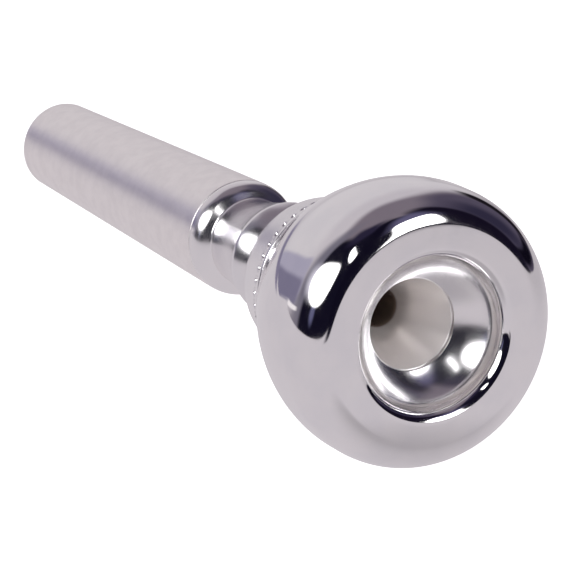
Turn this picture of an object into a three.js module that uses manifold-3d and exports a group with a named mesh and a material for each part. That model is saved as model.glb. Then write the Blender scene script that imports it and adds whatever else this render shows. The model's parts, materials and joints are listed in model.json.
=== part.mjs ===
// A screw-together mouthpiece for a trumpet: a polished rim that carries the shallow
// bowl, a cup body with the funnel and the neck, and a tapered shank with the backbore.
// Each screw joint has an O-ring in a groove beside its thread.
//
// Every piece is turned about the +Y axis of one inner group. Lengths along that axis
// are measured from the flat face of the rim, so the shank ends at LENGTH. The group is
// then tipped until the rim and the end of the shank both touch the ground, z = 0.
// All sizes are in millimetres. An outline is a list of [along, radius] points.

import * as THREE from 'three';
import { mergeVertices } from 'three/addons/utils/BufferGeometryUtils.js';
import Module from 'manifold-3d';

const wasm = await Module();
wasm.setup();

// Overall size
const LENGTH = 87.3;
const RIM_RADIUS = 13.85;
const SHANK_END_RADIUS = 4.84;
const SHANK_TAPER = 1 / 40;
const SHANK_END_CHAMFER = 0.3;

// Rim: a flat ring to play on, rolled over at both edges, then a wall down to the shoulder
const FACE_INNER_RADIUS = 8.5;
const FACE_OUTER_RADIUS = 10.7;
const BITE_RADIUS = 7.5;
const BITE_DEPTH = 1.1;
const WIDEST_FROM = 4.4;
const WIDEST_TO = 6;
const SHOULDER = 16.6;
const SHOULDER_RADIUS = 10.45;
const WALL_HANDLES = [[9.5, RIM_RADIUS], [13.5, 12.1]];
const RIM_END = 17.5;
const RIM_END_RADIUS = 9.7;

// Inside: shallow bowl, straight funnel, throat and backbore
const BOWL_DEPTH = 4.45;
const BOWL_LIP = 0.3;
const BOWL_WALL_CORNER = [1.95, 7.48];
const BOWL_WALL_END = [2.5, 7.05];
const BOWL_HANDLE = [3.75, 6.05];
const BOWL_EDGE_RADIUS = 4.5;
const FUNNEL_RADIUS = 4.4;
const THROAT_FROM = 11.6;
const THROAT_TO = 17;
const THROAT_RADIUS = 1.83;
const BORE_END_RADIUS = 4.2;

// Outside of the cup body: a bevelled skirt, a waist, a ring, a neck and the collar
const COLLAR_RADIUS = 5.97;
const BEVEL_RADIUS = 9.15;
const SKIRT_FROM = [18.35, 9.62];
const SKIRT_END = [24.2, 8];
const SKIRT_CORNER = [25.6, 7.5];
const DROP = [26.4, 6.5];
const WAIST_CORNER = [27.8, 4.75];
const WAIST = [29, 4.75];
const RING_FOOT = [29.75, 5.02];
const RING_FOOT_CORNER = [29.35, 4.75];
const RING_SHOULDER = [30.6, 5.6];
const RING_FROM = [31.3, 5.88];
const RING_TO = [31.5, 5.88];
const NECK_HANDLES = [[33.2, 5.35], [36.2, 4.7]];
const NECK = [38.9, 4.5];
const COVE_CORNER = [39.3, 4.48];
const COVE_TOP = [39.4, 4.66];
const STEP_TOP = [39.63, 5.06];
const COLLAR_CORNER = [40.15, COLLAR_RADIUS];
const COLLAR = 41.4;

// Fit of one piece to the next
const GAP = 0.3;
const RELIEF = 0.3;

// Threads: right-hand, one start, with play on the flanks
const PITCH = 1;
const THREAD_LENGTH = 3;
const THREAD_HEIGHT = 0.6;
const CREST_WIDTH = 0.2;
const FLANK_SLOPE = 2 / 3;
const FLANK_PLAY = 0.15;
const RADIAL_PLAY = 0.2;
const RIM_THREAD = { from: 5.9, coreRadius: 7.4 };
const SHANK_THREAD = { from: 33.4, coreRadius: 3 };

// O-rings and their grooves
const SEAL_THICKNESS = 0.6;
const RIM_SEAL = { at: 14.2, radius: 7.7 };
const SHANK_SEAL = { at: 40.7, radius: 3.8 };

// Socket for the shank with its wider mouth, and the thread-free lands beside each thread
const SOCKET_FROM = 32.6;
const MOUTH_FROM = 39.6;
const MOUTH_RADIUS = 4.4;
const RIM_LAND_FROM = 11.5;
const SHANK_LAND_FROM = 37.4;
const SEAL_LAND_RADIUS = 4.1;

// Facets round every turned surface; one facet faces the ground
const SIDES = 48;
const SIDE_ANGLE = (2 * Math.PI) / SIDES;
const SEAL_SIDES = 8;

/** Joins shared vertices of a geometry and hands it to manifold-3d as a solid. */
function solidFrom(geometry) {
  geometry.deleteAttribute('normal');
  geometry.deleteAttribute('uv');
  const merged = mergeVertices(geometry);
  return new wasm.Manifold(new wasm.Mesh({
    numProp: 3,
    vertProperties: new Float32Array(merged.attributes.position.array),
    triVerts: new Uint32Array(merged.index.array),
  }));
}

/** Turns a solid of manifold-3d back into a geometry that a mesh can use. */
function geometryFrom(solid) {
  const mesh = solid.getMesh();
  const geometry = new THREE.BufferGeometry();
  geometry.setAttribute('position', new THREE.BufferAttribute(mesh.vertProperties, 3));
  geometry.setIndex(new THREE.BufferAttribute(mesh.triVerts, 1));
  geometry.computeVertexNormals();
  return geometry;
}

/** Turns a closed outline about the axis. Its outer side runs towards the shank. */
function turned(outline) {
  const points = outline.map(([along, radius]) => new THREE.Vector2(radius, along));
  points.push(points[0].clone());
  return solidFrom(new THREE.LatheGeometry(points, SIDES, SIDE_ANGLE / 2));
}

/** Sweeps a section along a right-hand helix about the axis. */
function helicalBar(section, from, turns) {
  const steps = Math.round(turns * SIDES);
  const corners = section.length;
  const positions = [];
  const index = [];
  for (let step = 0; step <= steps; step++) {
    const angle = (step + 0.5) * SIDE_ANGLE;
    const advance = from + (PITCH * step) / SIDES;
    for (const [along, radius] of section) {
      positions.push(radius * Math.sin(angle), advance + along, radius * Math.cos(angle));
    }
  }
  for (let step = 0; step < steps; step++) {
    for (let corner = 0; corner < corners; corner++) {
      const here = step * corners + corner;
      const next = step * corners + ((corner + 1) % corners);
      index.push(here, here + corners, next);
      index.push(next + corners, next, here + corners);
    }
  }
  const last = steps * corners;
  for (let corner = 1; corner < corners - 1; corner++) {
    index.push(0, corner, corner + 1);
    index.push(last, last + corner + 1, last + corner);
  }
  const geometry = new THREE.BufferGeometry();
  geometry.setAttribute('position', new THREE.Float32BufferAttribute(positions, 3));
  geometry.setIndex(index);
  return solidFrom(geometry);
}

/** Section of a thread between two radii, widened by play on each flank. */
function threadSection(coreRadius, innerRadius, outerRadius, play) {
  const crestRadius = coreRadius + THREAD_HEIGHT;
  const halfWidth = (radius) => (CREST_WIDTH + FLANK_SLOPE * (crestRadius - radius)) / 2 + play;
  const inner = halfWidth(innerRadius);
  const outer = halfWidth(outerRadius);
  return [[-inner, innerRadius], [-outer, outerRadius], [outer, outerRadius], [inner, innerRadius]];
}

/** The ridge of an outside thread, with its foot sunk in the core. */
function threadRidge({ from, coreRadius }) {
  const crestRadius = coreRadius + THREAD_HEIGHT;
  const foot = coreRadius - RELIEF;
  const section = threadSection(coreRadius, foot, crestRadius, 0);
  return helicalBar(section, from, THREAD_LENGTH / PITCH);
}

/** The cutter of an inside thread, half a turn longer than the land at both ends. */
function threadCutter({ from, coreRadius }) {
  const grooveRadius = coreRadius + THREAD_HEIGHT + RADIAL_PLAY;
  const section = threadSection(coreRadius, coreRadius, grooveRadius, FLANK_PLAY);
  return helicalBar(section, from - PITCH, THREAD_LENGTH / PITCH + 2);
}

/** Radius of the bore at a place along the axis, behind the throat. */
function boreRadius(along) {
  const share = Math.max(0, (along - THROAT_TO) / (LENGTH - THROAT_TO));
  return THROAT_RADIUS + share * (BORE_END_RADIUS - THROAT_RADIUS);
}

/** Radius of the tapered outside of the shank at a place along the axis. */
function shankRadius(along) {
  return SHANK_END_RADIUS + (LENGTH - along) * SHANK_TAPER;
}

/** Points of a curve, without its first one. */
function stretch(Curve, ends, pieces) {
  const curve = new Curve(...ends.map((point) => new THREE.Vector2(...point)));
  return curve.getPoints(pieces).slice(1).map(({ x, y }) => [x, y]);
}

/** A bend from one point to another, drawn towards one handle. */
function bend(from, handle, to, pieces) {
  return stretch(THREE.QuadraticBezierCurve, [from, handle, to], pieces);
}

/** A flowing curve from one point to another, drawn towards two handles. */
function sweep(from, handles, to, pieces) {
  return stretch(THREE.CubicBezierCurve, [from, ...handles, to], pieces);
}

/** A quarter of an ellipse from one point to the next, leaving the first along the axis. */
function quarter([fromAlong, fromRadius], [toAlong, toRadius], pieces) {
  const points = [];
  for (let piece = 1; piece <= pieces; piece++) {
    const angle = (piece / pieces) * (Math.PI / 2);
    points.push([
      fromAlong + (toAlong - fromAlong) * Math.sin(angle),
      toRadius + (fromRadius - toRadius) * Math.cos(angle),
    ]);
  }
  return points;
}

/** The rim's outside, from its widest band to the shoulder. */
function wallOutline() {
  const widest = [WIDEST_TO, RIM_RADIUS];
  return [widest, ...sweep(widest, WALL_HANDLES, [SHOULDER, SHOULDER_RADIUS], 7)];
}

function makeRim() {
  const bite = [BITE_DEPTH, BITE_RADIUS];
  const bowlEdge = [BOWL_DEPTH, BOWL_EDGE_RADIUS];
  const seat = BOWL_DEPTH + BOWL_LIP;
  const landRadius = RIM_THREAD.coreRadius + RADIAL_PLAY;
  const boreOfSkirt = RIM_THREAD.coreRadius + THREAD_HEIGHT + RELIEF;
  const landEnd = RIM_THREAD.from + THREAD_LENGTH;
  const blank = turned([
    [seat, BOWL_EDGE_RADIUS],
    bowlEdge,
    ...bend(bowlEdge, BOWL_HANDLE, BOWL_WALL_END, 4),
    ...bend(BOWL_WALL_END, BOWL_WALL_CORNER, bite, 3),
    ...quarter(bite, [0, FACE_INNER_RADIUS], 3),
    ...quarter([WIDEST_FROM, RIM_RADIUS], [0, FACE_OUTER_RADIUS], 5).reverse(),
    [WIDEST_FROM, RIM_RADIUS],
    ...wallOutline(),
    [RIM_END, RIM_END_RADIUS],
    [RIM_END, boreOfSkirt],
    [landEnd, boreOfSkirt],
    [landEnd, landRadius],
    [RIM_THREAD.from, landRadius],
    [RIM_THREAD.from, boreOfSkirt],
    [seat, boreOfSkirt],
  ]);
  return blank.subtract(threadCutter(RIM_THREAD));
}

/** The groove of an O-ring in an outside land, as four outline points. */
function sealGroove(seal, landRadius) {
  const half = SEAL_THICKNESS / 2 + GAP;
  const bottom = seal.radius - SEAL_THICKNESS / 2 - GAP;
  return [
    [seal.at - half, landRadius],
    [seal.at - half, bottom],
    [seal.at + half, bottom],
    [seal.at + half, landRadius],
  ];
}

function makeCupBody() {
  const top = BOWL_DEPTH + BOWL_LIP + GAP;
  const landRadius = RIM_THREAD.coreRadius + THREAD_HEIGHT;
  const shoulder = RIM_END + GAP;
  const end = COLLAR - GAP / 2;
  const socketRadius = SHANK_THREAD.coreRadius + THREAD_HEIGHT + RELIEF;
  const innerLand = SHANK_THREAD.coreRadius + RADIAL_PLAY;
  const innerLandEnd = SHANK_THREAD.from + THREAD_LENGTH;
  const blank = turned([
    [top, FUNNEL_RADIUS],
    [top, RIM_THREAD.coreRadius],
    [RIM_LAND_FROM, RIM_THREAD.coreRadius],
    [RIM_LAND_FROM, landRadius],
    ...sealGroove(RIM_SEAL, landRadius),
    [shoulder, landRadius],
    [shoulder, BEVEL_RADIUS],
    SKIRT_FROM,
    SKIRT_END,
    ...bend(SKIRT_END, SKIRT_CORNER, DROP, 4),
    ...bend(DROP, WAIST_CORNER, WAIST, 4),
    ...bend(WAIST, RING_FOOT_CORNER, RING_FOOT, 2),
    ...bend(RING_FOOT, RING_SHOULDER, RING_FROM, 2),
    RING_TO,
    ...sweep(RING_TO, NECK_HANDLES, NECK, 5),
    ...bend(NECK, COVE_CORNER, COVE_TOP, 3),
    STEP_TOP,
    ...bend(STEP_TOP, COLLAR_CORNER, [end, COLLAR_RADIUS], 4),
    [end, MOUTH_RADIUS],
    [MOUTH_FROM, MOUTH_RADIUS],
    [MOUTH_FROM, socketRadius],
    [innerLandEnd, socketRadius],
    [innerLandEnd, innerLand],
    [SHANK_THREAD.from, innerLand],
    [SHANK_THREAD.from, socketRadius],
    [SOCKET_FROM, socketRadius],
    [SOCKET_FROM, boreRadius(SOCKET_FROM)],
    [THROAT_TO, THROAT_RADIUS],
    [THROAT_FROM, THROAT_RADIUS],
  ]);
  return blank.add(threadRidge(RIM_THREAD)).subtract(threadCutter(SHANK_THREAD));
}

function makeShank() {
  const spigotFrom = SOCKET_FROM + GAP;
  const landRadius = SHANK_THREAD.coreRadius + THREAD_HEIGHT;
  const collar = COLLAR + GAP / 2;
  const taperEnd = LENGTH - SHANK_END_CHAMFER;
  const blank = turned([
    [spigotFrom, boreRadius(spigotFrom)],
    [spigotFrom, SHANK_THREAD.coreRadius],
    [SHANK_LAND_FROM, SHANK_THREAD.coreRadius],
    [SHANK_LAND_FROM, landRadius],
    [MOUTH_FROM + GAP, landRadius],
    [MOUTH_FROM + GAP, SEAL_LAND_RADIUS],
    ...sealGroove(SHANK_SEAL, SEAL_LAND_RADIUS),
    [collar, SEAL_LAND_RADIUS],
    [collar, shankRadius(collar)],
    [taperEnd, shankRadius(taperEnd)],
    [LENGTH, SHANK_END_RADIUS - SHANK_END_CHAMFER / 2],
    [LENGTH, BORE_END_RADIUS],
  ]);
  return blank.add(threadRidge(SHANK_THREAD));
}

function makeSeal({ at, radius }) {
  const outline = [];
  for (let side = 0; side < SEAL_SIDES; side++) {
    const angle = (side / SEAL_SIDES) * 2 * Math.PI;
    const reach = SEAL_THICKNESS / 2;
    outline.push([at + reach * Math.sin(angle), radius + reach * Math.cos(angle)]);
  }
  return turned(outline);
}

const polished = () => new THREE.MeshStandardMaterial({ color: 0xd9d5db, metalness: 1, roughness: 0.08 });
const satin = () => new THREE.MeshStandardMaterial({ color: 0xc3bcbc, metalness: 1, roughness: 0.38 });
const rubber = () => new THREE.MeshStandardMaterial({ color: 0x18181a, metalness: 0, roughness: 0.7 });

/** Adds one solid to a group as a named mesh. */
function addPiece(group, name, solid, material) {
  const mesh = new THREE.Mesh(geometryFrom(solid), material);
  mesh.name = name;
  group.add(mesh);
}

const mouthpiece = new THREE.Group();
addPiece(mouthpiece, 'rim', makeRim(), polished());
addPiece(mouthpiece, 'cup_body', makeCupBody(), polished());
addPiece(mouthpiece, 'shank', makeShank(), satin());
addPiece(mouthpiece, 'rim_seal', makeSeal(RIM_SEAL), rubber());
addPiece(mouthpiece, 'shank_seal', makeSeal(SHANK_SEAL), rubber());

/** Tips the group until a facet of the rim and one of the shank's end lie on the ground. */
function layOnGround(group) {
  const taperEnd = LENGTH - SHANK_END_CHAMFER;
  const slopes = wallOutline().map(([along, radius]) => (
    (radius - shankRadius(taperEnd)) / (taperEnd - along)
  ));
  group.rotation.x = -Math.atan(Math.max(...slopes) * Math.cos(SIDE_ANGLE / 2));
  group.updateMatrixWorld(true);
  const box = new THREE.Box3().setFromObject(group, true);
  const centre = box.getCenter(new THREE.Vector3());
  group.position.set(-centre.x, -centre.y, -box.min.z);
}

layOnGround(mouthpiece);

export default mouthpiece;
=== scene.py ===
import json
import math

import bpy
from mathutils import Matrix, Vector


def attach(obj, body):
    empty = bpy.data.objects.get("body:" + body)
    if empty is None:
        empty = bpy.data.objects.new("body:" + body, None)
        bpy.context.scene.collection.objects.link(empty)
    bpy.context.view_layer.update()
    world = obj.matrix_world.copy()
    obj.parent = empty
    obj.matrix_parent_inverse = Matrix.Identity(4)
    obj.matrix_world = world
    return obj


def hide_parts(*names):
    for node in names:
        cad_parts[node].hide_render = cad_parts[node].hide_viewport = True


# A screw-together trumpet mouthpiece, silver plated: polished rim and cup body, satin shank.
# Every piece is turned about one axis. Outlines are lists of (along, radius) points in
# millimetres, measured from the flat face of the rim, and the outer side of an outline
# runs towards the end of the shank.

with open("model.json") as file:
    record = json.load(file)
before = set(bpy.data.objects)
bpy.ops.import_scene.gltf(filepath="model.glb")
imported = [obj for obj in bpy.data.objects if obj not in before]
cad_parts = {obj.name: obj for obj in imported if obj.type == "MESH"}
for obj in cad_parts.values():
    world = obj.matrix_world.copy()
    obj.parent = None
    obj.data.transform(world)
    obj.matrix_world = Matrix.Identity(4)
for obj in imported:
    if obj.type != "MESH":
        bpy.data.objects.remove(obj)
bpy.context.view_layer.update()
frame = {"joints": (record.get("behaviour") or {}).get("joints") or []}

MM = 0.001
JOINTS = {joint["name"]: joint for joint in frame["joints"]}

# Overall size
LENGTH = 87.3
RIM_RADIUS = 13.85
SHANK_END_RADIUS = 4.84
SHANK_TAPER = 1 / 40

# Rim
FACE_INNER_RADIUS = 8.5
FACE_OUTER_RADIUS = 10.7
BITE_RADIUS = 7.5
BITE_DEPTH = 1.1
WIDEST_FROM = 4.4
WIDEST_TO = 6.0
WALL_HANDLES = [(9.5, RIM_RADIUS), (13.5, 12.1)]
SHOULDER = 16.6
SHOULDER_RADIUS = 10.45
RIM_END = 17.5
RIM_END_RADIUS = 9.7

# Inside
BOWL_DEPTH = 4.45
BOWL_LIP = 0.3
BOWL_WALL_CORNER = (1.95, 7.48)
BOWL_WALL_END = (2.5, 7.05)
BOWL_HANDLE = (3.75, 6.05)
BOWL_EDGE_RADIUS = 4.5
FUNNEL_RADIUS = 4.42
THROAT_FROM = 11.6
THROAT_TO = 17.0
THROAT_RADIUS = 1.83
BORE_END_RADIUS = 4.2

# Outside of the cup body: a bevelled skirt, a waist, a ring, a neck and a stepped collar,
# and the socket in its end
BEVEL_RADIUS = 9.15
SKIRT_FROM = (18.35, 9.62)
SKIRT_END = (24.2, 8.0)
SKIRT_CORNER = (25.6, 7.5)
DROP = (26.4, 6.5)
WAIST_CORNER = (27.8, 4.75)
WAIST = (29.0, 4.75)
RING_FOOT_CORNER = (29.35, 4.75)
RING_FOOT = (29.75, 5.02)
RING_SHOULDER = (30.6, 5.6)
RING_FROM = (31.3, 5.88)
RING_TO = (31.5, 5.88)
NECK_HANDLES = [(33.2, 5.35), (36.2, 4.7)]
NECK = (38.9, 4.5)
COVE_CORNER = (39.3, 4.48)
COVE_TOP = (39.4, 4.66)
STEP_TOP = (39.63, 5.06)
COLLAR_CORNER = (40.15, 5.97)
COLLAR_RADIUS = 5.98
COLLAR = 41.4
SOCKET_FROM = 32.6
MOUTH_FROM = 39.6
MOUTH_RADIUS = 4.3
SEAL_LAND_RADIUS = 4.1

# Where the plain lands beside the threads begin
RIM_LAND_FROM = 11.5
SHANK_LAND_FROM = 37.4

# Fit of one piece to the next
SEAM = 0.1
RELIEF = 0.3
PLAY = 0.06

# Threads
PITCH = 1.0
THREAD_LENGTH = 3.0
THREAD_HEIGHT = 0.6
CREST_WIDTH = 0.2
FLANK_SLOPE = 2 / 3
THREAD_STEP = 0.06
RUN_OUT = 0.5
RIM_THREAD = {"from": 5.9, "core": 7.4}
SHANK_THREAD = {"from": 33.4, "core": 3.0}

# O-rings
RIM_SEAL = {"at": 14.2, "radius": 7.68, "thickness": 1.0}
SHANK_SEAL = {"at": 40.7, "radius": 3.88, "thickness": 0.7}
GROOVE_PLAY = 0.15

# A ring of small round punch marks on the skirt, with sloping sides and a flat floor
MARKS = 48
MARK_RADIUS = 0.44
MARK_DEPTH = 0.40
MARK_SLOPE = 1.25
MARKS_AT = 19.35
MARK_STEP = 0.07
MARK_MARGIN = 0.1
MARK_SIDES = 12

# Sides of the turned meshes, and points along the curves and lines of their outlines
SIDES = 256
BODY_SIDES = MARKS * MARK_SIDES
SEAL_SECTION = 24
WALL_POINTS = 48
BOWL_POINTS = 32
LONG_POINTS = 24
CURVE_POINTS = 20
CORNER_POINTS = 16
RING_POINTS = 12
FOOT_POINTS = 10
FLAT_POINTS = 6
BAND_POINTS = 3

# Small curves on corners that turn by more than EASE_ANGLE
EASE = 0.12
SHANK_EASE = 0.16
EASE_POINTS = 4
EASE_SHARE = 0.45
EASE_ANGLE = math.radians(20)
SHARP_ANGLE = math.radians(32)


# ---------------------------------------------------------------- the mouthpiece's own axis

axis = Vector(JOINTS["shank_turn"]["axis"]).normalized()
face_centre = Vector(JOINTS["shank_turn"]["pos_m"]) - axis * (SHANK_SEAL["at"] * MM)
side = Vector((1, 0, 0))
upright = side.cross(axis)
TO_ROW = Matrix((side, axis, upright)).transposed().to_4x4()
TO_ROW.translation = face_centre


# ---------------------------------------------------------------- outlines

def mix(a, b, share):
    """The point at a share of the way between two points."""
    return (a[0] + (b[0] - a[0]) * share, a[1] + (b[1] - a[1]) * share)


def bezier(points, pieces):
    """Points along a Bezier curve, without its first one."""
    made = []
    for piece in range(1, pieces + 1):
        share = piece / pieces
        level = list(points)
        while len(level) > 1:
            level = [mix(a, b, share) for a, b in zip(level, level[1:])]
        made.append(level[0])
    return made


def quarter(start, end, pieces):
    """A quarter of an ellipse that leaves its start along the axis, without its start."""
    made = []
    for piece in range(1, pieces + 1):
        angle = piece / pieces * math.pi / 2
        along = start[0] + (end[0] - start[0]) * math.sin(angle)
        radius = end[1] + (start[1] - end[1]) * math.cos(angle)
        made.append((along, radius))
    return made


def straight(start, end, pieces):
    """Evenly spaced points from start to end, without the start."""
    return [mix(start, end, piece / pieces) for piece in range(1, pieces + 1)]


def eased(outline, ease=EASE):
    """Rounds every sharp corner of a closed outline with a small curve."""
    made = []
    count = len(outline)
    for place, corner in enumerate(outline):
        before = outline[place - 1]
        after = outline[(place + 1) % count]
        way_in = Vector(corner) - Vector(before)
        way_out = Vector(after) - Vector(corner)
        turn = way_in.angle(way_out)
        if turn < EASE_ANGLE:
            made.append(corner)
            continue
        cut = min(ease, way_in.length * EASE_SHARE, way_out.length * EASE_SHARE)
        first = mix(corner, before, cut / way_in.length)
        last = mix(corner, after, cut / way_out.length)
        made.append(first)
        made.extend(bezier([first, corner, last], EASE_POINTS))
    return made


def skirt_radius(along):
    """Radius of the conical skirt at a place along the axis."""
    share = (along - SKIRT_FROM[0]) / (SKIRT_END[0] - SKIRT_FROM[0])
    return SKIRT_FROM[1] + share * (SKIRT_END[1] - SKIRT_FROM[1])


def bore_radius(along):
    """Radius of the backbore at a place along the axis."""
    share = max(0.0, (along - THROAT_TO) / (LENGTH - THROAT_TO))
    return THROAT_RADIUS + share * (BORE_END_RADIUS - THROAT_RADIUS)


def shank_radius(along):
    """Radius of the tapered outside of the shank at a place along the axis."""
    return SHANK_END_RADIUS + (LENGTH - along) * SHANK_TAPER


# ---------------------------------------------------------------- turned meshes

def turned(name, outline, sides=SIDES, relief=None):
    """Turns a closed outline into a mesh. relief(along, radius, angle) may shift a radius."""
    count = len(outline)
    vertices = []
    for turn in range(sides):
        angle = 2 * math.pi * turn / sides
        for along, radius in outline:
            reach = radius + (relief(along, radius, angle) if relief else 0.0)
            across, up = reach * math.sin(angle), reach * math.cos(angle)
            vertices.append((across * MM, along * MM, up * MM))
    faces = []
    for turn in range(sides):
        here = turn * count
        there = ((turn + 1) % sides) * count
        for point in range(count):
            after = (point + 1) % count
            faces.append((here + point, there + point, there + after, here + after))
    mesh = bpy.data.meshes.new(name)
    mesh.from_pydata(vertices, [], faces)
    mesh.transform(TO_ROW)
    mesh.shade_smooth()
    mesh.set_sharp_from_angle(angle=SHARP_ANGLE)
    piece = bpy.data.objects.new(name, mesh)
    bpy.context.scene.collection.objects.link(piece)
    return piece


def off_helix(along, angle, start):
    """How far a point lies from the nearest turn of a right-hand helix, along the axis."""
    phase = (along - start) / PITCH - angle / (2 * math.pi)
    return abs(phase - round(phase)) * PITCH


def ridge_height(along, angle, start):
    """Height of an outside thread's ridge above its core."""
    flank = (2 * off_helix(along, angle, start) - CREST_WIDTH) / FLANK_SLOPE
    end = min(along - start + RUN_OUT, start + THREAD_LENGTH + RUN_OUT - along) / RUN_OUT
    fade = min(1.0, max(0.0, end))
    return max(0.0, min(THREAD_HEIGHT, THREAD_HEIGHT - flank)) * fade


def groove_depth(along, angle, start):
    """Depth of an inside thread's groove below its land."""
    flank = (2 * off_helix(along, angle, start) - CREST_WIDTH - 2 * PLAY) / FLANK_SLOPE
    return max(0.0, min(THREAD_HEIGHT, THREAD_HEIGHT - flank))


def mark_depth(along, angle):
    """Depth of the ring of punch marks at a point of the skirt."""
    spacing = 2 * math.pi / MARKS
    across = (angle / spacing - round(angle / spacing)) * spacing * skirt_radius(MARKS_AT)
    away = math.hypot(across, along - MARKS_AT)
    if away >= MARK_RADIUS:
        return 0.0
    return min((MARK_RADIUS - away) * MARK_SLOPE, MARK_DEPTH)


# ---------------------------------------------------------------- the pieces

def inside_thread(thread):
    """The land of an inside thread between two reliefs, from its far end, as outline points."""
    start = thread["from"]
    end = start + THREAD_LENGTH
    land = thread["core"] + PLAY
    relief = thread["core"] + THREAD_HEIGHT + RELIEF
    made = [(end, relief), (end, land)]
    made += straight((end, land), (start, land), round(THREAD_LENGTH / THREAD_STEP))
    return made + [(start, relief)]


def outside_thread(thread, top):
    """The core under an outside thread, from the top of its piece, as outline points."""
    core = thread["core"]
    end = thread["from"] + THREAD_LENGTH + RUN_OUT
    return [(top, core)] + straight((top, core), (end, core), round((end - top) / THREAD_STEP))


def make_rim():
    """The playing ring with its bowl, and the wall that screws over the cup body."""
    bite = (BITE_DEPTH, BITE_RADIUS)
    bowl_edge = (BOWL_DEPTH, BOWL_EDGE_RADIUS)
    seat = BOWL_DEPTH + BOWL_LIP
    start = RIM_THREAD["from"]
    land = RIM_THREAD["core"] + PLAY
    skirt = RIM_THREAD["core"] + THREAD_HEIGHT + RELIEF
    land_end = start + THREAD_LENGTH
    face_inner = (0.0, FACE_INNER_RADIUS)
    face_outer = (0.0, FACE_OUTER_RADIUS)
    band_from = (WIDEST_FROM, RIM_RADIUS)
    band_to = (WIDEST_TO, RIM_RADIUS)
    outline = [(seat, BOWL_EDGE_RADIUS), bowl_edge]
    outline += bezier([bowl_edge, BOWL_HANDLE, BOWL_WALL_END], BOWL_POINTS)
    outline += bezier([BOWL_WALL_END, BOWL_WALL_CORNER, bite], CURVE_POINTS)
    outline += quarter(bite, face_inner, CURVE_POINTS)
    outline += straight(face_inner, face_outer, FLAT_POINTS)
    outline += quarter(band_from, face_outer, WALL_POINTS)[-2::-1]
    outline += [band_from]
    outline += straight(band_from, band_to, BAND_POINTS)
    outline += bezier([band_to, *WALL_HANDLES, (SHOULDER, SHOULDER_RADIUS)], WALL_POINTS)
    outline += [(RIM_END, RIM_END_RADIUS), (RIM_END, skirt)]
    outline += inside_thread(RIM_THREAD)
    outline += [(seat, skirt)]

    def thread(along, radius, angle):
        """Cuts the thread's groove into its land."""
        if abs(radius - land) > PLAY or not start <= along <= land_end:
            return 0.0
        return groove_depth(along, angle, start)

    return turned("screw_rim", eased(outline), SIDES, thread)


def seal_groove(seal, land):
    """The groove of an O-ring in an outside land, as outline points."""
    half = seal["thickness"] / 2 + GROOVE_PLAY
    bottom = seal["radius"] - seal["thickness"] / 2 - PLAY
    return [
        (seal["at"] - half, land),
        (seal["at"] - half, bottom),
        (seal["at"] + half, bottom),
        (seal["at"] + half, land),
    ]


def cup_outside(end):
    """The outside of the cup body from its skirt to its collar, as outline points."""
    marks_from = MARKS_AT - MARK_RADIUS - MARK_MARGIN
    marks_to = MARKS_AT + MARK_RADIUS + MARK_MARGIN
    marks_from = (marks_from, skirt_radius(marks_from))
    marks_to = (marks_to, skirt_radius(marks_to))
    outline = [SKIRT_FROM, marks_from]
    outline += straight(marks_from, marks_to, round((marks_to[0] - marks_from[0]) / MARK_STEP))
    outline += straight(marks_to, SKIRT_END, FLAT_POINTS)
    outline += bezier([SKIRT_END, SKIRT_CORNER, DROP], CORNER_POINTS)
    outline += bezier([DROP, WAIST_CORNER, WAIST], CURVE_POINTS)
    outline += bezier([WAIST, RING_FOOT_CORNER, RING_FOOT], FOOT_POINTS)
    outline += bezier([RING_FOOT, RING_SHOULDER, RING_FROM], RING_POINTS)
    outline += [RING_TO]
    outline += bezier([RING_TO, *NECK_HANDLES, NECK], LONG_POINTS)
    outline += bezier([NECK, COVE_CORNER, COVE_TOP], CORNER_POINTS)
    outline += [STEP_TOP]
    return outline + bezier([STEP_TOP, COLLAR_CORNER, (end, COLLAR_RADIUS)], CURVE_POINTS)


def make_cup_body():
    """The funnel and throat inside, the skirt, waist, ring, neck and collar outside."""
    top = BOWL_DEPTH + BOWL_LIP + PLAY
    core = RIM_THREAD["core"]
    start = RIM_THREAD["from"]
    land = core + THREAD_HEIGHT
    ridge_end = start + THREAD_LENGTH + RUN_OUT
    shoulder = RIM_END + SEAM
    end = COLLAR - SEAM / 2
    socket_core = SHANK_THREAD["core"] + PLAY
    socket = SHANK_THREAD["core"] + THREAD_HEIGHT + RELIEF
    socket_start = SHANK_THREAD["from"]
    socket_end = socket_start + THREAD_LENGTH
    outline = [(top, FUNNEL_RADIUS)]
    outline += outside_thread(RIM_THREAD, top)
    outline += [(RIM_LAND_FROM, core), (RIM_LAND_FROM, land)]
    outline += seal_groove(RIM_SEAL, land)
    outline += [(shoulder, land), (shoulder, BEVEL_RADIUS)]
    outline += cup_outside(end)
    outline += [(end, MOUTH_RADIUS), (MOUTH_FROM, MOUTH_RADIUS), (MOUTH_FROM, socket)]
    outline += inside_thread(SHANK_THREAD)
    outline += [(SOCKET_FROM, socket), (SOCKET_FROM, bore_radius(SOCKET_FROM))]
    outline += [(THROAT_TO, THROAT_RADIUS), (THROAT_FROM, THROAT_RADIUS)]

    def shaped(along, radius, angle):
        """Raises the outer thread, cuts the socket's thread and sinks the punch marks."""
        if abs(radius - core) < PLAY and along < ridge_end + RUN_OUT:
            return ridge_height(along, angle, start)
        if abs(radius - socket_core) < PLAY / 2 and socket_start <= along <= socket_end:
            return groove_depth(along, angle, socket_start)
        if abs(radius - skirt_radius(along)) < PLAY and abs(along - MARKS_AT) <= MARK_RADIUS:
            return -mark_depth(along, angle)
        return 0.0

    return turned("cup_and_waist", eased(outline), BODY_SIDES, shaped)


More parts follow.
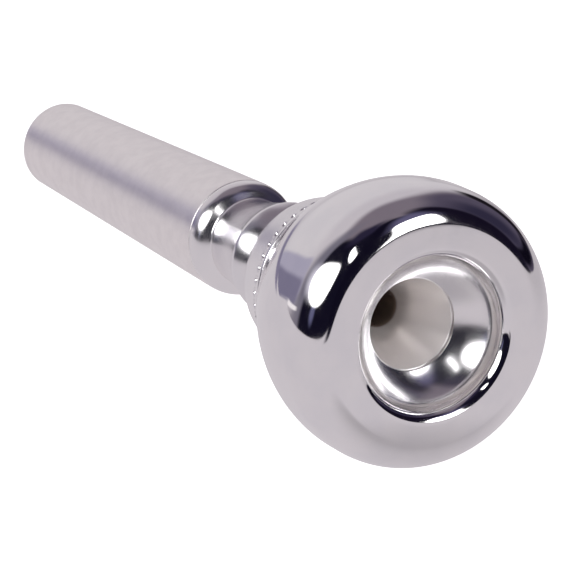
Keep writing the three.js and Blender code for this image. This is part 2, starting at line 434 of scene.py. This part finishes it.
def make_shank():
    """The threaded spigot and the tapered shank, with the backbore through both."""
    top = SOCKET_FROM + SEAM
    core = SHANK_THREAD["core"]
    start = SHANK_THREAD["from"]
    land = core + THREAD_HEIGHT
    ridge_end = start + THREAD_LENGTH + RUN_OUT
    collar = COLLAR + SEAM / 2
    outline = [(top, bore_radius(top))]
    outline += outside_thread(SHANK_THREAD, top)
    outline += [(SHANK_LAND_FROM, core), (SHANK_LAND_FROM, land)]
    outline += [(MOUTH_FROM + SEAM, land), (MOUTH_FROM + SEAM, SEAL_LAND_RADIUS)]
    outline += seal_groove(SHANK_SEAL, SEAL_LAND_RADIUS)
    outline += [(collar, SEAL_LAND_RADIUS), (collar, shank_radius(collar))]
    outline += straight((collar, shank_radius(collar)), (LENGTH, SHANK_END_RADIUS), LONG_POINTS)
    outline += [(LENGTH, BORE_END_RADIUS)]

    def thread(along, radius, angle):
        """Raises the thread's ridge on its core."""
        if abs(radius - core) < PLAY and along < ridge_end + RUN_OUT:
            return ridge_height(along, angle, start)
        return 0.0

    return turned("shank_and_backbore", eased(outline, SHANK_EASE), SIDES, thread)


def make_seal(name, seal):
    """An O-ring."""
    outline = []
    for place in range(SEAL_SECTION):
        angle = 2 * math.pi * place / SEAL_SECTION
        along = seal["at"] + seal["thickness"] / 2 * math.sin(angle)
        radius = seal["radius"] + seal["thickness"] / 2 * math.cos(angle)
        outline.append((along, radius))
    return turned(name, outline)


# ---------------------------------------------------------------- node helpers

# The Mix node's sockets for colours
FIRST_COLOUR = 6
SECOND_COLOUR = 7
MIXED_COLOUR = 2


class Shading:
    """Adds nodes to a shader tree with short calls."""

    def __init__(self, tree):
        self.tree = tree
        tree.nodes.clear()

    def node(self, kind, **settings):
        """Adds a node with some of its settings."""
        made = self.tree.nodes.new(kind)
        for setting, value in settings.items():
            setattr(made, setting, value)
        return made

    def feed(self, socket, value):
        """Links a node's output to a socket, or gives the socket a plain value."""
        if isinstance(value, bpy.types.NodeSocket):
            self.tree.links.new(value, socket)
        else:
            socket.default_value = value

    def math(self, operation, *values):
        """One sum, of outputs or plain numbers."""
        made = self.node("ShaderNodeMath", operation=operation)
        for socket, value in zip(made.inputs, values):
            self.feed(socket, value)
        return made.outputs[0]

    def span(self, value, low, high, to_low=0.0, to_high=1.0):
        """Maps low..high to to_low..to_high with soft ends."""
        made = self.node("ShaderNodeMapRange", interpolation_type="SMOOTHSTEP")
        for socket, item in zip(made.inputs, (value, low, high, to_low, to_high)):
            self.feed(socket, item)
        return made.outputs[0]

    def blend(self, share, a, b):
        """Mixes two colours."""
        made = self.node("ShaderNodeMix", data_type="RGBA")
        self.feed(made.inputs["Factor"], share)
        self.feed(made.inputs[FIRST_COLOUR], a)
        self.feed(made.inputs[SECOND_COLOUR], b)
        return made.outputs[MIXED_COLOUR]

    def noise(self, place, scale, detail=2.0, roughness=0.5):
        """A cloudy value between 0 and 1, seldom near either end."""
        made = self.node("ShaderNodeTexNoise")
        self.feed(made.inputs["Vector"], place)
        self.feed(made.inputs["Scale"], scale)
        self.feed(made.inputs["Detail"], detail)
        self.feed(made.inputs["Roughness"], roughness)
        return made.outputs[0]


def own_axes(shading):
    """Object coordinates moved so that Y runs along the mouthpiece's axis from the rim's face."""
    to_own = TO_ROW.inverted()
    place = shading.node("ShaderNodeTexCoord").outputs["Object"]
    turn = shading.node("ShaderNodeMapping", vector_type="POINT")
    shading.feed(turn.inputs["Vector"], place)
    turn.inputs["Location"].default_value = to_own.translation
    turn.inputs["Rotation"].default_value = to_own.to_euler()
    return turn.outputs[0]


def distance(shading, across, up):
    """Length of the diagonal of two offsets."""
    squares = [shading.math("POWER", offset, 2.0) for offset in (across, up)]
    return shading.math("SQRT", shading.math("ADD", *squares))


def off_axis(shading, place):
    """Distance from the mouthpiece's axis and place along it, both in millimetres."""
    split = shading.node("ShaderNodeSeparateXYZ")
    shading.feed(split.inputs[0], place)
    away = distance(shading, split.outputs[0], split.outputs[2])
    return [shading.math("DIVIDE", value, MM) for value in (away, split.outputs[1])]


def stretched(shading, place, scale):
    """Scales a coordinate differently along each axis."""
    made = shading.node("ShaderNodeVectorMath", operation="MULTIPLY")
    shading.feed(made.inputs[0], place)
    made.inputs[1].default_value = scale
    return made.outputs[0]


def bumped(shading, height, strength, depth):
    """A normal tilted by a height."""
    made = shading.node("ShaderNodeBump")
    made.inputs["Strength"].default_value = strength
    made.inputs["Distance"].default_value = depth
    shading.feed(made.inputs["Height"], height)
    return made.outputs[0]


def surface(name):
    """A material whose tree holds only a Principled shader and the output."""
    material = bpy.data.materials.new(name)
    material.use_nodes = True
    shading = Shading(material.node_tree)
    shader = shading.node("ShaderNodeBsdfPrincipled")
    output = shading.node("ShaderNodeOutputMaterial")
    shading.feed(output.inputs["Surface"], shader.outputs[0])
    return material, shading, shader


# ---------------------------------------------------------------- materials

# Tints, in pairs where a cloudy noise mixes two
POLISHED_TINTS = [(0.90, 0.88, 0.89, 1), (0.86, 0.845, 0.865, 1)]
FUNNEL_TINTS = [(0.99, 0.955, 0.935, 1), (0.95, 0.915, 0.895, 1)]
# Painted shade: a dark brown laid into the base colour of the throat's bore, where the deep hole
# falls into shade
THROAT_PAINTED_SHADE = (0.30, 0.23, 0.19, 1)
SATIN_TINTS = [(0.96, 0.925, 0.915, 1), (0.90, 0.865, 0.86, 1)]
RUBBER_TINTS = [(0.012, 0.012, 0.013, 1), (0.03, 0.03, 0.032, 1)]

# Noise scales per metre: the larger, the finer
POLISHED_CLOUDS = 260.0
SATIN_CLOUDS = 700.0
SMEARS = 900.0
GRAIN = 2600.0
RUBBER_GRAIN = 4000.0
SCRATCHES = (600, 9000, 600)
TURNING_MARKS = (250, 9000, 250)

# The part of a noise's range that is spread over a whole change of tint or roughness
CLOUD_RANGE = (0.35, 0.7)
SMEAR_RANGE = (0.3, 0.75)
FINE_RANGE = (0.3, 0.7)

# Roughness of the clear mirror, of the hazier polish, of the funnel and of the other finishes
CLEAR = 0.06
HAZY = 0.19
FUNNEL_HAZE = 0.20
SMEARED = (-0.015, 0.02)
SATIN = (0.30, 0.40)
RUBBER = (0.5, 0.65)

# The blasted funnel is less metallic than the plate round it
FUNNEL_METAL = 0.5

# Where the finish changes over, and where the throat's painted shade fades in, in millimetres from
# the axis and, for the ends, along it
FUNNEL_ZONE = (FUNNEL_RADIUS + 0.04, FUNNEL_RADIUS + 0.1)
THROAT_SHADE_ZONE = (THROAT_RADIUS + 0.08, THROAT_RADIUS + 0.25)
THROAT_SHADE_ENDS = (THROAT_FROM - 0.6, THROAT_FROM - 0.1)
BUFFED_ZONE = (BITE_RADIUS - 0.4, BITE_RADIUS + 0.3)
BUFFED_ENDS = (6.0, 22.0)
SCRATCHED_ZONE = (BITE_RADIUS, BITE_RADIUS + 0.4)
BOWL_SCRATCHES = 0.3

# Bumps: how strong they are, how deep in metres, and the grain's share beside the lines
POLISHED_BUMP = (0.03, 0.00002)
SATIN_BUMP = (0.25, 0.00003)
RUBBER_BUMP = (0.2, 0.00002)
FUNNEL_GRAIN = 2.0
SATIN_GRAIN = 0.8


def polished_silver():
    """Silver plate: a clear mirror on the rim, hazier elsewhere, satin in the funnel, with painted
    shade darkening the throat.
    """
    material, shading, shader = surface("polished_silver_plate")
    place = own_axes(shading)
    away, along = off_axis(shading, place)
    cloud = shading.span(shading.noise(place, POLISHED_CLOUDS, detail=3.0), *CLOUD_RANGE)
    inside = shading.span(away, *FUNNEL_ZONE, 1.0, 0.0)
    bright = shading.blend(cloud, *POLISHED_TINTS)
    # Painted shade: the base colour darkens to a dark brown down in the throat's bore
    throat_shade = shading.math(
        "MULTIPLY",
        shading.span(away, *THROAT_SHADE_ZONE, 1.0, 0.0),
        shading.span(along, *THROAT_SHADE_ENDS),
    )
    funnel_and_throat_shade = shading.blend(throat_shade, shading.blend(cloud, *FUNNEL_TINTS), THROAT_PAINTED_SHADE)
    shading.feed(shader.inputs["Base Color"], shading.blend(inside, bright, funnel_and_throat_shade))
    shading.feed(shader.inputs["Metallic"], shading.span(inside, 0.0, 1.0, 1.0, FUNNEL_METAL))
    buffed = shading.math(
        "MINIMUM",
        shading.span(away, *BUFFED_ZONE),
        shading.span(along, *BUFFED_ENDS, 1.0, 0.0),
    )
    smears = shading.noise(place, SMEARS, detail=3.0)
    smears = shading.span(smears, *SMEAR_RANGE, *SMEARED)
    haze = shading.span(buffed, 0.0, 1.0, HAZY, CLEAR)
    haze = shading.span(inside, 0.0, 1.0, haze, FUNNEL_HAZE)
    shading.feed(shader.inputs["Roughness"], shading.math("ADD", haze, smears))
    streaks = stretched(shading, place, SCRATCHES)
    scratches = shading.noise(streaks, 1.0, detail=4.0, roughness=0.6)
    shown = shading.span(away, *SCRATCHED_ZONE, BOWL_SCRATCHES, 1.0)
    scratches = shading.math("MULTIPLY", scratches, shown)
    grain = shading.noise(place, GRAIN, detail=3.0, roughness=0.7)
    grain = shading.math("MULTIPLY", grain, inside)
    height = shading.math("ADD", scratches, shading.math("MULTIPLY", grain, FUNNEL_GRAIN))
    shading.feed(shader.inputs["Normal"], bumped(shading, height, *POLISHED_BUMP))
    return material


def satin_silver():
    """Silver plate left satin over fine turning marks."""
    material, shading, shader = surface("satin_silver_plate")
    place = own_axes(shading)
    cloud = shading.noise(place, SATIN_CLOUDS, detail=4.0, roughness=0.6)
    cloud = shading.span(cloud, *FINE_RANGE)
    shading.feed(shader.inputs["Base Color"], shading.blend(cloud, *SATIN_TINTS))
    shader.inputs["Metallic"].default_value = 1.0
    grain = shading.noise(place, GRAIN, detail=3.0, roughness=0.7)
    shading.feed(shader.inputs["Roughness"], shading.span(grain, *FINE_RANGE, *SATIN))
    rings = stretched(shading, place, TURNING_MARKS)
    rings = shading.noise(rings, 1.0, detail=3.0, roughness=0.6)
    height = shading.math("ADD", rings, shading.math("MULTIPLY", grain, SATIN_GRAIN))
    shading.feed(shader.inputs["Normal"], bumped(shading, height, *SATIN_BUMP))
    return material


def seal_rubber():
    """Black rubber with a fine grain."""
    material, shading, shader = surface("seal_rubber")
    grain = shading.noise(own_axes(shading), RUBBER_GRAIN, detail=3.0)
    shading.feed(shader.inputs["Base Color"], shading.blend(grain, *RUBBER_TINTS))
    shading.feed(shader.inputs["Roughness"], shading.span(grain, *FINE_RANGE, *RUBBER))
    shading.feed(shader.inputs["Normal"], bumped(shading, grain, *RUBBER_BUMP))
    return material


# ---------------------------------------------------------------- studio

# The table as the metal mirrors it, with places in metres: it dims along X over TABLE_EDGE,
# is dark in front past FRONT_EDGE on Y and FRONT_SIDE on X, and bluish behind past GAP on Y
# from GAP_SIDE to GAP_END on X. The rim shades it round SHADE, down to SHADE_LEVEL.
TABLE = (0.62, 0.585, 0.615)
TABLE_DIM = (0.52, 0.49, 0.515)
TABLE_EDGE = (0.0, 0.15)
FRONT_TINT = (0.006, 0.005, 0.014)
FRONT_EDGE = (-0.19, -0.17)
FRONT_SIDE = (-0.08, -0.02)
GAP_TINT = (0.22, 0.20, 0.29)
GAP = (0.145, 0.165)
GAP_SIDE = (-0.11, -0.09)
GAP_END = (0.02, 0.06)
SHADE = (0.0, -0.058)
SHADE_REACH = (0.004, 0.021)
SHADE_LEVEL = 0.70

# The table as the camera sees it
TABLE_PAINT = (0.9, 0.9, 0.9, 1)
TABLE_GLOW = 0.86
TABLE_REACH = 0.35
TABLE_DROP = 0.00004
TABLE_SIDES = 96

WHITE = (1.0, 1.0, 1.0)

# What the bright metal mirrors, as soft-edged cards on a far sphere, each over the last.
# Azimuth is measured from +Y towards +X and elevation from the horizon, in degrees. Size is
# across and up, slant turns a card, flare widens it upwards, corners is 2 for an oval and
# more for a squarer card, and feather is the share of its size over which its edge fades.
CARDS = [
    # azimuth, elevation, across, up, slant, flare, corners, feather, colour
    (-8, 30, 116, 68, 0, 0, 4, 0.20, (0.57, 0.535, 0.57)),
    (4, 16, 84, 40, 0, 0, 3, 0.50, (0.65, 0.62, 0.645)),
    (-68, 32, 36, 76, 0, 0, 3, 0.60, (0.17, 0.16, 0.205)),
    (-26, 6, 17, 56, -58, 0.4, 6, 0.14, (0.40, 0.38, 0.48)),
    (-29, 2, 11, 52, -68, 0.5, 5, 0.24, (0.20, 0.185, 0.27)),
    (-47, 1.5, 30, 2.4, 14, 0, 5, 0.30, (0.92, 0.88, 0.89)),
    (-142, 22, 138, 86, 0, 0, 6, 0.07, (0.006, 0.005, 0.014)),
    (-144, 66, 76, 16, 0, 0, 3, 0.50, (0.022, 0.018, 0.042)),
    (95, 26, 80, 72, 0, 0, 4, 0.25, (0.085, 0.072, 0.110)),
    (102, 24, 40, 42, 0, 0, 3, 0.60, (0.030, 0.026, 0.052)),
    (98, 2, 60, 7, 0, 0, 4, 0.40, (0.004, 0.003, 0.008)),
    (136, 26, 34, 76, 0, 0, 4, 0.25, (0.007, 0.005, 0.014)),
    (176, 26, 32, 76, 0, 0, 4, 0.20, (0.005, 0.004, 0.012)),
    (57, 10, 14, 30, -20, 0, 4, 0.30, (0.010, 0.008, 0.012)),
    (-80, 28, 34, 18, 0, 0, 2, 0.70, (0.80, 0.78, 0.88)),
    (-106, 12, 13, 14, 0, 0, 2, 0.60, (0.12, 0.12, 0.22)),
    (-107, 31, 68, 29, 0, 0, 2.2, 0.12, (4.0, 4.0, 4.0)),
    (155.5, 44, 28, 26, 0, 0, 3, 0.60, (0.12, 0.11, 0.20)),
    (155.5, 16, 15, 44, 0, 0.7, 6, 0.08, (4.0, 4.0, 4.0)),
    (-154, 42, 31, 7, -40, 0, 3, 0.15, (3.0, 3.0, 3.0)),
]
CEILING = (0.20, 0.17, 0.205)
LEAST_WIDTH = 0.05


def card_mask(shading, azimuth, elevation, card):
    """Where a card shows, from 0 to 1."""
    middle, height, across, up, slant, flare, corners, feather, _ = card
    over = shading.math("WRAP", shading.math("SUBTRACT", azimuth, middle), 180.0, -180.0)
    rise = shading.math("SUBTRACT", elevation, height)
    cos, sin = math.cos(math.radians(slant)), math.sin(math.radians(slant))

    def turned_offset(over_share, rise_share):
        """The offset from the card's middle along one of its own directions."""
        over_part = shading.math("MULTIPLY", over, over_share)
        return shading.math("ADD", over_part, shading.math("MULTIPLY", rise, rise_share))

    second = shading.math("DIVIDE", turned_offset(sin, cos), up / 2)
    width = shading.math("ADD", 1.0, shading.math("MULTIPLY", second, flare))
    width = shading.math("MAXIMUM", width, LEAST_WIDTH)
    first = turned_offset(cos, -sin)
    first = shading.math("DIVIDE", first, shading.math("MULTIPLY", width, across / 2))
    powers = [
        shading.math("POWER", shading.math("ABSOLUTE", offset), corners)
        for offset in (first, second)
    ]
    reach = shading.math("POWER", shading.math("ADD", *powers), 1 / corners)
    return shading.span(reach, 1 - feather, 1 + feather, 1.0, 0.0)


def make_world():
    """White where the camera sees it, and the cards everywhere else."""
    world = bpy.data.worlds.new("studio")
    bpy.context.scene.world = world
    world.use_nodes = True
    shading = Shading(world.node_tree)
    split = shading.node("ShaderNodeSeparateXYZ")
    shading.feed(split.inputs[0], shading.node("ShaderNodeTexCoord").outputs["Generated"])
    azimuth = shading.math("DEGREES", shading.math("ARCTAN2", split.outputs[0], split.outputs[1]))
    elevation = shading.math("DEGREES", shading.math("ARCSINE", split.outputs[2]))
    light = (*CEILING, 1.0)
    for card in CARDS:
        light = shading.blend(card_mask(shading, azimuth, elevation, card), light, (*card[-1], 1.0))
    seen = shading.node("ShaderNodeLightPath").outputs["Is Camera Ray"]
    background = shading.node("ShaderNodeBackground")
    shading.feed(background.inputs["Color"], shading.blend(seen, light, (*WHITE, 1.0)))
    output = shading.node("ShaderNodeOutputWorld")
    shading.feed(output.inputs["Surface"], background.outputs[0])


def mirrored_table(shading):
    """An emission shader for the table as the metal mirrors it."""
    place = shading.node("ShaderNodeSeparateXYZ")
    shading.feed(place.inputs[0], shading.node("ShaderNodeNewGeometry").outputs["Position"])
    x, y = place.outputs[0], place.outputs[1]
    front = shading.math(
        "MULTIPLY", shading.span(y, *FRONT_EDGE, 1.0, 0.0), shading.span(x, *FRONT_SIDE)
    )
    sides = shading.math(
        "MULTIPLY", shading.span(x, *GAP_SIDE), shading.span(x, *GAP_END, 1.0, 0.0)
    )
    behind = shading.math("MULTIPLY", shading.span(y, *GAP), sides)
    tint = shading.blend(shading.span(x, *TABLE_EDGE), (*TABLE, 1), (*TABLE_DIM, 1))
    tint = shading.blend(behind, tint, (*GAP_TINT, 1))
    tint = shading.blend(front, tint, (*FRONT_TINT, 1))
    offsets = [shading.math("SUBTRACT", value, middle) for value, middle in zip((x, y), SHADE)]
    near = distance(shading, *offsets)
    mirrored = shading.node("ShaderNodeEmission")
    shading.feed(mirrored.inputs["Color"], tint)
    shading.feed(mirrored.inputs["Strength"], shading.span(near, *SHADE_REACH, SHADE_LEVEL, 1.0))
    return mirrored


def make_floor():
    """A pale, evenly lit table. Seen directly it is nearly white with a faint shadow."""
    mesh = bpy.data.meshes.new("table")
    angles = [2 * math.pi * turn / TABLE_SIDES for turn in range(TABLE_SIDES)]
    edge = [(TABLE_REACH * math.cos(angle), TABLE_REACH * math.sin(angle), 0) for angle in angles]
    mesh.from_pydata(edge, [], [tuple(range(TABLE_SIDES))])
    table = bpy.data.objects.new("table", mesh)
    table.location.z = -TABLE_DROP
    bpy.context.scene.collection.objects.link(table)
    material = bpy.data.materials.new("table")
    material.use_nodes = True
    shading = Shading(material.node_tree)
    mirrored = mirrored_table(shading)
    lit = shading.node("ShaderNodeBsdfDiffuse")
    lit.inputs["Color"].default_value = TABLE_PAINT
    glow = shading.node("ShaderNodeEmission")
    glow.inputs["Strength"].default_value = TABLE_GLOW
    both = shading.node("ShaderNodeAddShader")
    shading.feed(both.inputs[0], lit.outputs[0])
    shading.feed(both.inputs[1], glow.outputs[0])
    choice = shading.node("ShaderNodeMixShader")
    shading.feed(choice.inputs[0], shading.node("ShaderNodeLightPath").outputs["Is Camera Ray"])
    shading.feed(choice.inputs[1], mirrored.outputs[0])
    shading.feed(choice.inputs[2], both.outputs[0])
    output = shading.node("ShaderNodeOutputMaterial")
    shading.feed(output.inputs["Surface"], choice.outputs[0])
    table.data.materials.append(material)


# The camera: its turn about Z, its tilt down, its place across, up from and away from the
# middle of the rim's face in millimetres, and its lens
VIEW_AZIMUTH = math.radians(-26.66)
VIEW_ELEVATION = math.radians(22.3)
VIEW_OFFSET = (13.87, -4.645, 377.56)
LENS = 253.6
SENSOR = 36.0
CLIP_START = 0.01


def make_camera():
    """Looks down at the mouthpiece from the player's side, left of its axis."""
    sin_azimuth, cos_azimuth = math.sin(VIEW_AZIMUTH), math.cos(VIEW_AZIMUTH)
    sin_down, cos_down = math.sin(VIEW_ELEVATION), math.cos(VIEW_ELEVATION)
    right = Vector((cos_azimuth, sin_azimuth, 0))
    ahead = Vector((-sin_azimuth * cos_down, cos_azimuth * cos_down, -sin_down))
    up = right.cross(ahead)
    across, rise, away = VIEW_OFFSET
    camera = bpy.data.objects.new("camera", bpy.data.cameras.new("camera"))
    pose = Matrix((right, up, -ahead)).transposed().to_4x4()
    pose.translation = face_centre - (right * across + up * rise + ahead * away) * MM
    camera.matrix_world = pose
    camera.data.lens = LENS
    camera.data.sensor_width = SENSOR
    camera.data.clip_start = CLIP_START
    bpy.context.scene.collection.objects.link(camera)
    bpy.context.scene.camera = camera


# ---------------------------------------------------------------- assembly

def assemble(piece, material, body, node):
    """Gives a piece its material and puts it in the place of a CAD node."""
    piece.data.materials.append(material)
    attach(piece, body)
    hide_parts(node)


polished = polished_silver()
satin = satin_silver()
rubber = seal_rubber()

assemble(make_rim(), polished, "rim", "rim")
assemble(make_cup_body(), polished, "cup_body", "cup_body")
assemble(make_shank(), satin, "shank", "shank")
rim_seal = make_seal("rim_o_ring", RIM_SEAL)
assemble(rim_seal, rubber, "rim_seal", "rim_seal")
shank_seal = make_seal("shank_o_ring", SHANK_SEAL)
assemble(shank_seal, rubber, "shank_seal", "shank_seal")

make_camera()
make_world()
make_floor()
bpy.context.scene.view_settings.view_transform = "Standard"
bpy.context.scene.view_settings.look = "None"
